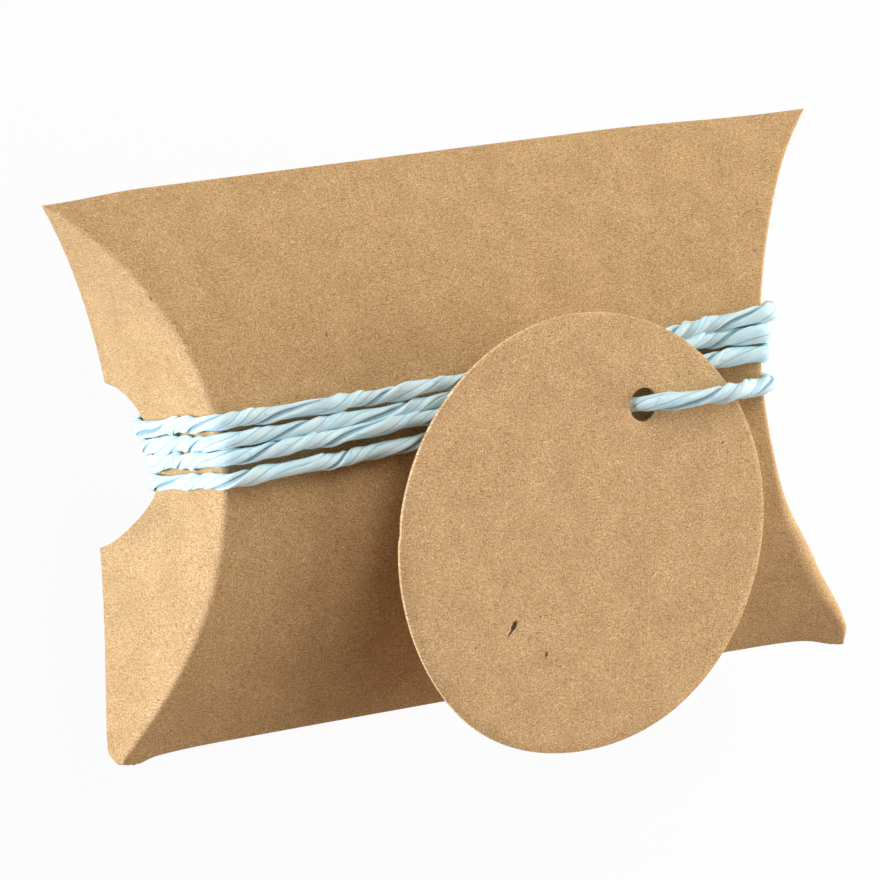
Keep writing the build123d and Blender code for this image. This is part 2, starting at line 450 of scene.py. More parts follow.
def outer_far(s):
    """Free edge of the outer flap, at the back panel and round the thumb notch."""
    edge = MID_Z - s.h
    if abs(s.y) < NOTCH_R:
        edge = max(edge, MID_Z - HALF_DEPTH + notch_half(s.y))
    return edge


def inner_far(s):
    """Free edge of the inner flap, a flatter arc than the panel."""
    rise = HALF_DEPTH * INNER_FLAP_SHARE
    radius = (HEIGHT ** 2 / 4 + rise ** 2) / (2 * rise)
    return MID_Z + rise - radius + sqrt(radius ** 2 - s.y ** 2)


# Glued strip

TAB_COLUMNS = 24
TAB_EDGE_GAP = 0.9 * MM
TAB_BLANK_SHIFT = 20 * MM


def tab_card(name):
    """Glued strip inside the back panel, along its lower crease."""
    rows = []
    inset = 2 * LAYER
    for s in STATIONS:
        if s.y > TAB_WIDTH - HEIGHT / 2 or s.y < TAB_EDGE_GAP - HEIGHT / 2:
            continue
        reach = end_face(s.y, inset) - TAB_END_SET_BACK
        normal = Vector((0, s.ny, -s.nz))
        row = []
        for k in range(TAB_COLUMNS + 1):
            x = reach * (2 * k / TAB_COLUMNS - 1)
            point = Vector((x, s.y, MID_Z - s.h)) - normal * (CARD + SLIVER)
            row.append((point, normal, x, blank_v(BACK_SIDE, s) + TAB_BLANK_SHIFT))
        rows.append(row)
    return shell(name, rows)


# Tag, whose rim is a little ragged, nicked at the left and fuller at the lower left and right

TAG_SPOKES = 256
TAG_RINGS = 22
TAG_SOFT_EDGE = 0.09 * MM
TAG_SLIGHT_SHARE = 0.3
RAGGED, RAGGED_TURNS, RAGGED_SEED = 0.05 * MM, 9, 3
NICK, NICK_AT, NICK_WIDTH = 0.28 * MM, radians(172), 0.02
FULLER = ((0.75 * MM, radians(-125), 0.47), (0.3 * MM, radians(-62), 0.5))


def tag_place():
    z = MID_Z + panel_height(TAG_HOLE_Y) + LIFT + TWINE_R + TAG_OFF_TWINE
    place = Matrix.Translation((TAG_HOLE_X, TAG_HOLE_Y, z))
    return place @ Matrix.Rotation(TAG_LEAN_Y, 4, "X") @ Matrix.Rotation(TAG_LEAN_X, 4, "Y")


TAG_PLACE = tag_place()
TAG_CENTRE = Vector((-TAG_HOLE_INSET * cos(TAG_HANG_ANGLE), -TAG_HOLE_INSET * sin(TAG_HANG_ANGLE), 0))


def tag_rim(angle):
    """Distance from the hole's middle to the tag's rim at an angle."""
    d = Vector((cos(angle), sin(angle), 0))
    along = d.dot(TAG_CENTRE)
    reach = along + sqrt(along ** 2 - TAG_CENTRE.length_squared + TAG_R ** 2)
    rim = d * reach - TAG_CENTRE
    around = atan2(rim.y, rim.x)
    place = Vector((cos(around) * RAGGED_TURNS, sin(around) * RAGGED_TURNS, RAGGED_SEED))
    reach -= abs(RAGGED * noise.noise(place))
    reach -= NICK * bell(around, NICK_AT, NICK_WIDTH)
    for full, middle, width in FULLER:
        reach += full * bell(around, middle, width)
    return reach


def lean(p):
    """The tag lies as far forward as the panel and the strands under it."""
    return p + Vector((0, 0, END_FORWARD * (2 * p.x / LENGTH) ** 2))


def tag_piece(name):
    """Die-cut disc with softened edges, built as loops from its hole out to its rim and back."""
    soft = TAG_SOFT_EDGE
    slight = soft * TAG_SLIGHT_SHARE
    steps = [(0, 0, soft), (0, slight, slight), (0, soft, 0)]
    steps += [(k / TAG_RINGS, 0, 0) for k in range(1, TAG_RINGS)]
    steps += [(1, -soft, 0), (1, -slight, slight), (1, 0, soft)]
    points, faces, uvs, loops = [], [], [], []
    for back, ordered in ((False, steps), (True, reversed(steps))):
        for t, off, drop in ordered:
            loop = []
            for k in range(TAG_SPOKES):
                a = 2 * pi * k / TAG_SPOKES
                far = tag_rim(a)
                if t == 0:
                    reach = TAG_HOLE_R + off
                elif t == 1:
                    reach = far + off
                else:
                    reach = TAG_HOLE_R + soft + t * (far - TAG_HOLE_R - 2 * soft)
                z = drop if back else TAG_CARD - drop
                p = Vector((reach * cos(a), reach * sin(a), z))
                q = p - TAG_CENTRE
                loop.append(len(points))
                uvs.append((q.x / BLANK_UNIT, q.y / BLANK_UNIT))
                points.append(lean(TAG_PLACE @ p))
            loops.append(loop)
    loops.append(loops[0])
    for inner, outer in zip(loops, loops[1:]):
        for k in range(TAG_SPOKES):
            n = (k + 1) % TAG_SPOKES
            faces.append((inner[k], outer[k], outer[n], inner[n]))
    return make_mesh(name, points, faces, uvs)


# Twine's route: the CAD strands drawn tight, sagging and bunched as photographed, one value a strand.
# The last strand is threaded through the tag and has a rise at two places instead of a sag.

END_LIFT = 0.72 * MM
LEFT_FRONT_SHARES = (0.585, 0.342, 0.137, -0.125)
LEFT_END_SHARES = (0.52, 0.305, 0.1, -0.147)
RIGHT_TIGHT = (0.1 * MM, 0.35 * MM, 0.5 * MM, 0.5 * MM)
LEFT_SAG = (1.0 * MM, 0.6 * MM, 0.0)
LEFT_SAG_X, LEFT_SAG_SHARE = -10 * MM, 0.38
RIGHT_SAG = (0.2 * MM, -0.85 * MM, -0.8 * MM)
RIGHT_OVER = (0.35 * MM, 0.0, 0.1 * MM)
RIGHT_SAG_X, RIGHT_SAG_SHARE = 27.5 * MM, 0.85
THREADED = 3
THREADED_RISE = ((-4 * MM, 1.0 * MM), (-16 * MM, 0.1 * MM))
CORNER_REACH = 4.6 * MM
BEND_REACH = 3.0 * MM
CLIMB_REACH = 2.4 * MM
CROWDED_SHARE = 0.9
STEP = 0.45 * MM
SPLINE_RESOLUTION = 10


def front_corner(end, y, tight=0.0):
    """Where a strand turns round the crease, drawn in at 45 degrees by tight."""
    return Vector((end * (end_face(y) + END_LIFT - tight), y, MID_Z + panel_height(y) + LIFT - tight))


def on_front(x, y, over=0.0):
    return Vector((x, y, MID_Z + panel_height(y) + LIFT + over))


def notch_reach(y):
    return sqrt(NOTCH_R ** 2 - (abs(y) + TWINE_R) ** 2) - NOTCH_CHORD_INSET


def on_end_at_notch(end, y):
    return Vector((end * (end_face(y) + END_LIFT), y, MID_Z - HALF_DEPTH + notch_reach(y)))


def on_back_at_notch(end, y):
    return Vector((end * (END_X - notch_reach(y)), y, MID_Z - panel_height(y) - LIFT))


def tag_run():
    """Past the tag's rim, up to its hole and through it."""
    middle = TAG_PLACE @ Vector((0, 0, TAG_CARD / 2))
    under = middle.z - (MID_Z + panel_height(middle.y) + LIFT)
    above = TAG_CARD / 2 + TWINE_R + TWINE_OFF_TAG
    low = middle - Vector((under, 0, under))
    high = middle + Vector((above, 0, above))
    side_way = TAG_HOLE_INSET * sin(TAG_HANG_ANGLE)
    reach = sqrt(TAG_R ** 2 - side_way ** 2) - TAG_HOLE_INSET * cos(TAG_HANG_ANGLE)
    rim = TAG_PLACE @ Vector((reach + RIM_PAST, 0, TAG_CARD + TWINE_R + TWINE_OFF_TAG))
    return [rim, high, low]


def knot_centre():
    y = NOTCH_R * KNOT_Y_SHARE
    return Vector((end_face(y) + LIFT + TWINE_R + KNOT_R + KNOT_OFF_TWINE, y, MID_Z))


def knot_end(drop_share, y_share, z_share):
    """Where the winding leaves or reaches the tie, a share of the twine's width nearer to the box."""
    drop = 2 * TWINE_R * drop_share
    return Vector((knot_centre().x - drop, NOTCH_R * y_share, MID_Z + HALF_DEPTH * z_share))


def front_run(k, left, right):
    """Points of strand k between its two front corners."""
    if k == THREADED:
        rim, high, low = tag_run()
        points = [(rim, BEND_REACH), (high, CLIMB_REACH), (low, CLIMB_REACH)]
        for x, rise in THREADED_RISE:
            y = low.y + (left - low.y) * (low.x - x) / (low.x + END_X) + rise
            points.append((on_front(x, y), 0))
        return points
    y = left + (right - left) * RIGHT_SAG_SHARE - RIGHT_SAG[k]
    points = [(on_front(RIGHT_SAG_X, y, RIGHT_OVER[k]), 0)]
    if LEFT_SAG[k]:
        y = left + (right - left) * LEFT_SAG_SHARE - LEFT_SAG[k]
        points.append((on_front(LEFT_SAG_X, y), 0))
    return points


def route_points():
    """Corners of the winding as in the part's source, each with its reach of straight twine."""
    points = [(knot_centre(), 0), (knot_end(START_DROP_SHARE, START_Y_SHARE, START_Z_SHARE), BEND_REACH)]
    for k, right_share in enumerate(RIGHT_FRONT_SHARES):
        left, right = NOTCH_R * LEFT_FRONT_SHARES[k], NOTCH_R * right_share
        left_back, right_back = NOTCH_R * LEFT_BACK_SHARES[k], NOTCH_R * RIGHT_BACK_SHARES[k]
        points.append((front_corner(RIGHT, right, RIGHT_TIGHT[k]), CORNER_REACH))
        points += front_run(k, left, right)
        points.append((front_corner(LEFT, left), CORNER_REACH))
        points.append((on_end_at_notch(LEFT, NOTCH_R * LEFT_END_SHARES[k]), BEND_REACH))
        points.append((on_back_at_notch(LEFT, left_back), BEND_REACH))
        points.append((on_back_at_notch(RIGHT, right_back), BEND_REACH))
        points.append((on_end_at_notch(RIGHT, right_back), BEND_REACH))
    points.append((knot_end(FINISH_DROP_SHARE, FINISH_Y_SHARE, FINISH_Z_SHARE), BEND_REACH))
    points.append((knot_centre(), 0))
    return points


def held_route(points):
    """Control points: each corner, and where the twine lies flat on the card either side of it."""
    points = [(settle(p), reach) for p, reach in points]
    out = [points[0][0]]
    for (a, ra), (b, rb) in zip(points, points[1:]):
        run = (b - a).length
        way = (b - a) / run
        if ra + rb > run * CROWDED_SHARE:
            out.append(a + way * run / 2)
        else:
            if ra:
                out.append(a + way * ra)
            if rb:
                out.append(b - way * rb)
        out.append(b)
    return out


def knot_lines():
    """One strand tied over itself, with its two short ends, in mm from the middle of the tie."""
    c = knot_centre()
    table = (
        (0.6, 13.4, 2.1), (0.5, 9.0, 1.5), (0.5, 5.0, 1.0), (1.0, 2.0, 1.1), (1.1, -0.6, 0.2),
        (0.1, -1.2, -1.0), (-1.1, 0.0, -0.9), (-1.0, 1.1, 0.4), (0.2, 0.9, 1.2), (1.1, 0.1, 0.6),
        (1.0, -1.9, -0.9), (0.6, -5.0, -1.3), (0.6, -9.5, -1.7), (0.6, -14.3, -2.2),
    )
    return [settle(c + Vector(row) * MM) for row in table]


def spline_points(controls):
    """Evenly spaced points read from a NURBS spline."""
    curve = bpy.data.curves.new("route", "CURVE")
    curve.dimensions = "3D"
    spline = curve.splines.new("NURBS")
    spline.points.add(len(controls) - 1)
    for point, co in zip(spline.points, controls):
        point.co = (co.x, co.y, co.z, 1)
    spline.order_u = 3
    spline.use_endpoint_u = True
    spline.resolution_u = SPLINE_RESOLUTION
    route = bpy.data.objects.new("route", curve)
    bpy.context.scene.collection.objects.link(route)
    bpy.context.view_layer.update()
    mesh = bpy.data.meshes.new_from_object(route)
    raw = [v.co.copy() for v in mesh.vertices]
    bpy.data.objects.remove(route)
    bpy.data.meshes.remove(mesh)
    runs = [0.0]
    for a, b in zip(raw, raw[1:]):
        runs.append(runs[-1] + (b - a).length)
    count = int(runs[-1] / STEP)
    out, k = [], 0
    for n in range(count + 1):
        want = runs[-1] * n / count
        while k < len(runs) - 2 and runs[k + 1] < want:
            k += 1
        part = (want - runs[k]) / (runs[k + 1] - runs[k])
        out.append(raw[k].lerp(raw[k + 1], part))
    return out


# Twine's two plies, their swells, wrinkles and crumples, each with its share and its run along the twine

PLY_SIDES = 20
PLY_SHARP_ANGLE = 60.0
PLY_OFFSET = 0.33 * MM
PLY_THICK = 0.53 * MM
PLY_WIDE = 0.96 * MM
LAY = 12.5 * MM
LAY_UNEVEN, LAY_UNEVEN_RUN = 0.4, 9 * MM
PLY_LEAD = 0.35
PLY_SHARE, PLY_UNEQUAL_SHARE = 0.96, 0.10
SHORT_SWELL_SHARE, SHORT_SWELL_RUN = 0.07, 3.1 * MM
LONG_SWELL_SHARE, LONG_SWELL_RUN = 0.12, 17 * MM
OFFSET_SWELL_SHARE, OFFSET_SWELL_RUN = 0.12, 5 * MM
RIGHT_FULL_SHARE, RIGHT_FULL_START, RIGHT_FULL_RUN = 0.14, 20 * MM, 15 * MM
MIDDLE_THIN_SHARE, MIDDLE_THIN_X, MIDDLE_THIN_WIDTH = 0.13, -8 * MM, 14 * MM
PRESSED_SHARE, PRESSED_RUN, PRESSED_REACH = 0.4, 2.6 * MM, 2 * MM
WRINKLE_SHARE, WRINKLE_RUN, WRINKLE_SPREAD, WRINKLE_SEED = 0.15, 4.5 * MM, 1.7, 31
CRUMPLE_SHARE, CRUMPLE_RUN, CRUMPLE_SPREAD, CRUMPLE_SEED = 0.05, 1.5 * MM, 4, 17
PLY_UV_PER_METRE, PLY_UV_SHIFT = 100, 3.7


def ripple(x, y, z):
    return noise.noise(Vector((x, y, z)))


def ply_share(x, s, ply):
    """Thickness of a ply as a share of its usual one, at x on the box and s along the twine."""
    thick = PLY_SHARE + SHORT_SWELL_SHARE * ripple(s / SHORT_SWELL_RUN, ply * 9.1, 0)
    thick += RIGHT_FULL_SHARE * ramp(x, RIGHT_FULL_START, RIGHT_FULL_RUN)
    thick -= MIDDLE_THIN_SHARE * bell(x, MIDDLE_THIN_X, MIDDLE_THIN_WIDTH)
    thick += PLY_UNEQUAL_SHARE * (1 - 2 * ply)
    return thick + LONG_SWELL_SHARE * ripple(s / LONG_SWELL_RUN, ply * 1.3, 5.5)


def pressed_share(p):
    """How flat the twine is pressed against an end face at p."""
    over = abs(p.x) - end_face(p.y)
    if over >= PRESSED_REACH:
        return 0.0
    return PRESSED_SHARE * ramp(over, -PRESSED_RUN, PRESSED_RUN)


def wrinkles(a, s, ply):
    """Share by which a ply's skin stands out at angle a round it and s along it."""
    wrinkle = ripple(WRINKLE_SPREAD * cos(a), WRINKLE_SPREAD * sin(a), s / WRINKLE_RUN + WRINKLE_SEED * ply)
    crumple = ripple(CRUMPLE_SPREAD * cos(a), CRUMPLE_SPREAD * sin(a), s / CRUMPLE_RUN + CRUMPLE_SEED * ply)
    return 1 + WRINKLE_SHARE * wrinkle + CRUMPLE_SHARE * crumple


def carried_frames(line):
    """At each point of the line, two directions square to it, carried along without twist."""
    tangent = (line[1] - line[0]).normalized()
    side = Vector((0, 1, 0))
    side = (side - tangent * side.dot(tangent)).normalized()
    frames = []
    for k, here in enumerate(line):
        a, b = line[max(0, k - 1)], line[min(len(line) - 1, k + 1)]
        tangent = (b - a).normalized()
        side = (side - tangent * side.dot(tangent)).normalized()
        frames.append((here, side.copy(), tangent.cross(side)))
    return frames


def twisted(name, line):
    """Two wrinkled paper plies twisted round a line of points."""
    frames = carried_frames(line)
    points, faces, uvs = [], [], []
    for ply in range(2):
        base = len(points)
        for k, (here, n, b) in enumerate(frames):
            s = k * STEP
            turns = s / LAY + LAY_UNEVEN * ripple(s / LAY_UNEVEN_RUN, 0, 2)
            angle = (pi + PLY_LEAD) * ply - 2 * pi * turns
            thick = ply_share(here.x, s, ply)
            offset = PLY_OFFSET * (1 + OFFSET_SWELL_SHARE * ripple(s / OFFSET_SWELL_RUN, 4.2 + ply, 1.5))
            pressed = pressed_share(here)
            out = n * cos(angle) + b * sin(angle)
            flat = b * cos(angle) - n * sin(angle)
            for m in range(PLY_SIDES):
                a = 2 * pi * m / PLY_SIDES
                r = thick * wrinkles(a, s, ply)
                off = out * (offset + PLY_THICK * r * cos(a)) + flat * (PLY_WIDE * r * sin(a))
                off.x *= 1 - pressed
                points.append(here + off)
                uvs.append((m / PLY_SIDES, s * PLY_UV_PER_METRE + PLY_UV_SHIFT * ply))
        rings = len(frames)
        for k in range(rings - 1):
            for m in range(PLY_SIDES):
                q = (m + 1) % PLY_SIDES
                ring = base + k * PLY_SIDES
                faces.append((ring + m, ring + q, ring + PLY_SIDES + q, ring + PLY_SIDES + m))
        faces.append(tuple(base + m for m in reversed(range(PLY_SIDES))))
        faces.append(tuple(base + (rings - 1) * PLY_SIDES + m for m in range(PLY_SIDES)))
    return make_mesh(name, points, faces, uvs, PLY_SHARP_ANGLE)


# Materials

class Nodes:
    """Small helper for a material's nodes."""

    def __init__(self, name):
        self.material = bpy.data.materials.new(name)
        self.material.use_nodes = True
        self.tree = self.material.node_tree
        self.tree.nodes.clear()

    def add(self, kind, **values):
        node = self.tree.nodes.new(kind)
        for key, value in values.items():
            setattr(node, key, value)
        return node

    def link(self, a, b):
        self.tree.links.new(a, b)

    def coordinates(self, scale, turn=0.0, move=(0, 0, 0)):
        uv = self.add("ShaderNodeUVMap", uv_map="blank")
        mapping = self.add("ShaderNodeMapping")
        mapping.inputs["Location"].default_value = move
        mapping.inputs["Rotation"].default_value = (0, 0, turn)
        mapping.inputs["Scale"].default_value = scale
        self.link(uv.outputs["UV"], mapping.inputs["Vector"])
        return mapping.outputs["Vector"]

    def noise(self, vector, scale, detail, rough):
        node = self.add("ShaderNodeTexNoise")
        node.inputs["Scale"].default_value = scale
        node.inputs["Detail"].default_value = detail
        node.inputs["Roughness"].default_value = rough
        self.link(vector, node.inputs["Vector"])
        return node.outputs["Fac"]

    def span(self, value, low, high, out_low=0.0, out_high=1.0):
        node = self.add("ShaderNodeMapRange", interpolation_type="SMOOTHSTEP")
        limits = {"From Min": low, "From Max": high, "To Min": out_low, "To Max": out_high}
        for key, number in limits.items():
            node.inputs[key].default_value = number
        self.link(value, node.inputs["Value"])
        return node.outputs["Result"]

    def mix(self, factor, a, b, blend="MIX"):
        node = self.add("ShaderNodeMix", data_type="RGBA", blend_type=blend)
        for key, value in ((0, factor), (6, a), (7, b)):
            if isinstance(value, bpy.types.NodeSocket):
                self.link(value, node.inputs[key])
            elif key == 0:
                node.inputs[key].default_value = value
            else:
                node.inputs[key].default_value = (*value, 1)
        return node.outputs[2]

    def maths(self, kind, a, b=None):
        node = self.add("ShaderNodeMath", operation=kind)
        for key, value in enumerate((a, b)):
            if value is None:
                continue
            if isinstance(value, bpy.types.NodeSocket):
                self.link(value, node.inputs[key])
            else:
                node.inputs[key].default_value = value
        return node.outputs[0]

    def fleck(self, colour, place, turn, long, wide, share):
        """A dark sliver of bark in the pulp: where it lies on the blank and its half sizes, in mm."""
        uv = self.add("ShaderNodeUVMap", uv_map="blank")
        mapping = self.add("ShaderNodeMapping", vector_type="TEXTURE")
        unit = MM / BLANK_UNIT
        mapping.inputs["Location"].default_value = (place[0] * unit, place[1] * unit, 0)
        mapping.inputs["Rotation"].default_value = (0, 0, turn)
        mapping.inputs["Scale"].default_value = (long * unit, wide * unit, 1)
        self.link(uv.outputs["UV"], mapping.inputs["Vector"])
        length = self.add("ShaderNodeVectorMath", operation="LENGTH")
        self.link(mapping.outputs["Vector"], length.inputs[0])
        edge = self.noise(mapping.outputs["Vector"], scale=FLECK_EDGE_SCALE, detail=2, rough=0.6)
        ragged = self.maths("MULTIPLY", edge, FLECK_EDGE_DEPTH)
        away = self.maths("ADD", length.outputs["Value"], ragged)
        dark = self.span(away, low=FLECK_CORE, high=FLECK_END, out_low=share, out_high=0.0)
        return self.mix(dark, colour, BARK)

    def surface(self, colour, height, strength, distance, roughness, specular):
        shader = self.add("ShaderNodeBsdfPrincipled")
        shader.inputs["Roughness"].default_value = roughness
        shader.inputs["Specular IOR Level"].default_value = specular
        self.link(colour, shader.inputs["Base Color"])
        bump = self.add("ShaderNodeBump")
        bump.inputs["Strength"].default_value = strength
        bump.inputs["Distance"].default_value = distance
        self.link(height, bump.inputs["Height"])
        self.link(bump.outputs["Normal"], shader.inputs["Normal"])
        out = self.add("ShaderNodeOutputMaterial")
        self.link(shader.outputs[0], out.inputs[0])
        return self.material


# Kraft card: the box's and the tag's colour, then shades that multiply it
BOX_BASE = (0.615, 0.395, 0.180)
TAG_BASE = (0.755, 0.505, 0.248)
TAG_SEED = 40.0
BARK = (0.045, 0.02, 0.008)
FLECK_EDGE_SCALE, FLECK_EDGE_DEPTH = 2.4, 1.1
FLECK_CORE, FLECK_END = 1.2, 1.6
CLOUD_LIGHT, CLOUD_DARK = (1.06, 1.07, 1.09), (0.94, 0.93, 0.91)
GRAIN_DARK, GRAIN_LIGHT = (0.73, 0.65, 0.55), (1.19, 1.28, 1.38)
SHIVE_SHADE = 0.42
CLOUD_SCALE, GRAIN_SCALE, SHIVE_SCALE = 0.22, 4.6, 0.11
FIBRE_SCALE, FIBRE_LENGTHENING = 1.3, 0.75
CARD_ROUGHNESS, CARD_SPECULAR = 0.9, 0.25
CARD_BUMP, CARD_BUMP_HEIGHT, CLOUD_BUMP_SHARE = 0.3, 0.12 * MM, 0.4

# Five layers of fibres: direction, narrowness and shade
FIBRES = (
    (0.12, 6.5, (0.64, 0.53, 0.42)),
    (-0.5, 7.5, (1.18, 1.31, 1.42)),
    (0.75, 7.0, (1.18, 1.31, 1.42)),
    (1.5, 7.5, (0.68, 0.58, 0.48)),
    (2.3, 7.5, (1.17, 1.29, 1.40)),
)

# Slivers seen in the photo: place on the blank, angle in degrees, half length, half width, strength
TAG_FLECKS = (
    ((-10.35, -9.7), 56, 0.85, 0.36, 0.95),
    ((-10.95, -10.5), 48, 0.55, 0.17, 0.9),
    ((-5.92, -13.81), 70, 0.42, 0.22, 0.8),
    ((-8.2, -11.5), 60, 0.60, 0.07, 0.6),
    ((-6.55, -9.15), 20, 0.16, 0.13, 0.85),
    ((20.34, 7.88), 30, 0.30, 0.15, 0.6),
)
PANEL_FLECKS = (
    ((-21.26, 13.64), 80, 0.35, 0.14, 0.7),
    ((-42.92, 20.43), 100, 0.40, 0.13, 0.7),
    ((39.6, 21.55), 22, 0.80, 0.08, 0.5),
    ((41.3, 21.5), -25, 0.80, 0.08, 0.5),
)


def shaded(base, shade):
    return tuple(min(1.0, c * f) for c, f in zip(base, shade))


def kraft(name, base, seed, flecks):
    """Uncoated kraft card: cloudy pulp, short fibres in several directions, a few dark shives."""
    n = Nodes(name)
    per_mm = (BLANK_UNIT / MM,) * 3
    plain = n.coordinates(per_mm, 0, (seed, seed * 1.7, 0))
    cloud = n.noise(plain, CLOUD_SCALE, detail=4, rough=0.6)
    grain = n.noise(plain, GRAIN_SCALE, detail=3, rough=0.75)
    cloudy = n.span(cloud, low=0.3, high=0.7)
    colour = n.mix(cloudy, shaded(base, CLOUD_DARK), shaded(base, CLOUD_LIGHT))
    tone = n.mix(n.span(grain, low=0.35, high=0.65), GRAIN_DARK, GRAIN_LIGHT)
    colour = n.mix(1.0, colour, tone, "MULTIPLY")
    for k, (turn, narrow, shade) in enumerate(FIBRES):
        lines = n.coordinates(per_mm, turn, (seed + 3 * k, k * 5, k))
        squeeze = n.add("ShaderNodeMapping")
        squeeze.inputs["Scale"].default_value = (FIBRE_LENGTHENING, narrow, 1)
        n.link(lines, squeeze.inputs["Vector"])
        streaks = n.noise(squeeze.outputs["Vector"], FIBRE_SCALE, detail=1.5, rough=0.5)
        fibre = n.span(streaks, low=0.60, high=0.70)
        tinted = n.mix(1.0, colour, shade, "MULTIPLY")
        colour = n.mix(fibre, colour, tinted)
    cells = n.add("ShaderNodeTexVoronoi", feature="F1")
    cells.inputs["Scale"].default_value = SHIVE_SCALE
    n.link(plain, cells.inputs["Vector"])
    shive = n.span(cells.outputs["Distance"], low=0.018, high=0.034, out_low=1.0, out_high=0.0)
    pick = n.add("ShaderNodeSeparateColor")
    n.link(cells.outputs["Color"], pick.inputs[0])
    rare = n.span(pick.outputs[0], low=0.62, high=0.64)
    colour = n.mix(n.maths("MULTIPLY", shive, rare), colour, shaded(base, (SHIVE_SHADE,) * 3))
    for place, angle, long, wide, share in flecks:
        colour = n.fleck(colour, place, radians(angle), long, wide, share)
    height = n.maths("ADD", grain, n.maths("MULTIPLY", cloud, CLOUD_BUMP_SHARE))
    return n.surface(colour, height, CARD_BUMP, CARD_BUMP_HEIGHT, CARD_ROUGHNESS, CARD_SPECULAR)


# Twine's paper: its colours, the stretch of its noise, how strongly the painted shade where the plies meet
# and the thin lines of painted crease shade show, and its surface
PAPER_DARK, PAPER_LIGHT = (0.57, 0.87, 0.97), (0.76, 0.98, 1.0)
CREASE_STRETCH, FINE_STRETCH, LINE_STRETCH = (3.0, 1.4, 1.0), (12.0, 3.0, 1.0), (2.0, 0.9, 1.0)
PAPER_TONE_DARK, PAPER_TONE_LIGHT = (0.93, 0.94, 0.95), (1.05, 1.04, 1.03)
# Painted shade on each ply's inner side, where it meets the other ply: its colour and strength
PLY_MEETING_SHADE_COLOUR, PLY_MEETING_SHADE_STRENGTH = (0.10, 0.26, 0.34), 0.62
# Thin lines of painted shade along fine creases: their colour and strength
CREASE_SHADE_COLOUR, CREASE_SHADE_STRENGTH = (0.22, 0.42, 0.50), 0.3
PAPER_ROUGHNESS, PAPER_SPECULAR = 0.75, 0.3
PAPER_BUMP, PAPER_BUMP_HEIGHT, FINE_BUMP_SHARE = 0.35, 0.2 * MM, 0.35


def paper_twine(name):
    """Pale blue twisted paper, with painted shade on each ply's inner side where the two plies meet, and thin
    lines of painted shade along finer creases.
    """
    n = Nodes(name)
    crease = n.noise(n.coordinates(CREASE_STRETCH), scale=1.0, detail=4, rough=0.6)
    fine = n.noise(n.coordinates(FINE_STRETCH), scale=1.0, detail=3, rough=0.6)
    colour = n.mix(n.span(crease, low=0.3, high=0.62), PAPER_DARK, PAPER_LIGHT)
    tone = n.mix(n.span(fine, low=0.3, high=0.7), PAPER_TONE_DARK, PAPER_TONE_LIGHT)
    colour = n.mix(1.0, colour, tone, "MULTIPLY")
    # Painted shade, darkest on the inner side of each ply where the two plies meet
    round_ply = n.add("ShaderNodeSeparateXYZ")
    n.link(n.coordinates((1, 1, 1)), round_ply.inputs[0])
    off_ply_meeting = n.maths("ABSOLUTE", n.maths("SUBTRACT", round_ply.outputs[0], 0.5))
    ply_meeting_shade = n.span(off_ply_meeting, low=0.14, high=0.20, out_low=1.0, out_high=0.0)
    colour = n.mix(n.maths("MULTIPLY", ply_meeting_shade, PLY_MEETING_SHADE_STRENGTH), colour, PLY_MEETING_SHADE_COLOUR)
    # Thin lines of painted shade along fine creases of the paper
    wrinkle = n.noise(n.coordinates(LINE_STRETCH), scale=1.0, detail=1, rough=0.5)
    off_crease_shade = n.maths("ABSOLUTE", n.maths("SUBTRACT", wrinkle, 0.5))
    line = n.span(off_crease_shade, low=0.003, high=0.012, out_low=1.0, out_high=0.0)
    colour = n.mix(n.maths("MULTIPLY", line, CREASE_SHADE_STRENGTH), colour, CREASE_SHADE_COLOUR)
    height = n.maths("ADD", crease, n.maths("MULTIPLY", fine, FINE_BUMP_SHARE))
    return n.surface(colour, height, PAPER_BUMP, PAPER_BUMP_HEIGHT, PAPER_ROUGHNESS, PAPER_SPECULAR)


FLOOR_COLOUR = (0.85, 0.85, 0.85, 1)
WHITE = (1, 1, 1, 1)
FLOOR_GLOW_SHARE = 0.95


def floor_material():
    """Pale floor that is nearly white to the camera and still shows a faint shadow."""
    n = Nodes("plain_floor")
    shader = n.add("ShaderNodeBsdfDiffuse")
    shader.inputs["Color"].default_value = FLOOR_COLOUR
    glow = n.add("ShaderNodeEmission")
    glow.inputs["Color"].default_value = WHITE
    glow.inputs["Strength"].default_value = 1.0
    path = n.add("ShaderNodeLightPath")
    seen = n.maths("MAXIMUM", path.outputs["Is Camera Ray"], path.outputs["Is Glossy Ray"])
    seen = n.maths("MAXIMUM", seen, path.outputs["Is Transmission Ray"])
    share = n.maths("MULTIPLY", seen, FLOOR_GLOW_SHARE)
    mix = n.add("ShaderNodeMixShader")
    n.link(share, mix.inputs[0])
    n.link(shader.outputs[0], mix.inputs[1])
    n.link(glow.outputs[0], mix.inputs[2])
    out = n.add("ShaderNodeOutputMaterial")
    n.link(mix.outputs[0], out.inputs[0])
    return n.material


# Assembly

KRAFT = kraft("kraft_card", BOX_BASE, 0.0, PANEL_FLECKS)
TAG_KRAFT = kraft("tag_card", TAG_BASE, TAG_SEED, TAG_FLECKS)
TWINE_PAPER = paper_twine("paper_twine")


def dress(piece, material, body, node):
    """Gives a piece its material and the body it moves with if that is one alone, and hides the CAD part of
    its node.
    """
    piece.data.materials.append(material)
    if body:
        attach(piece, body)
    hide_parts(node)
    return piece


def crease_blend(piece):
    """Bakes the flap's placement into its mesh."""
    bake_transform(piece)


dress(panel_card("front_panel_card", FRONT_SIDE), KRAFT, "box", "front_panel")
dress(panel_card("back_panel_card", BACK_SIDE), KRAFT, "box", "back_panel")
dress(tab_card("glue_tab_card"), KRAFT, "box", "glue_tab")

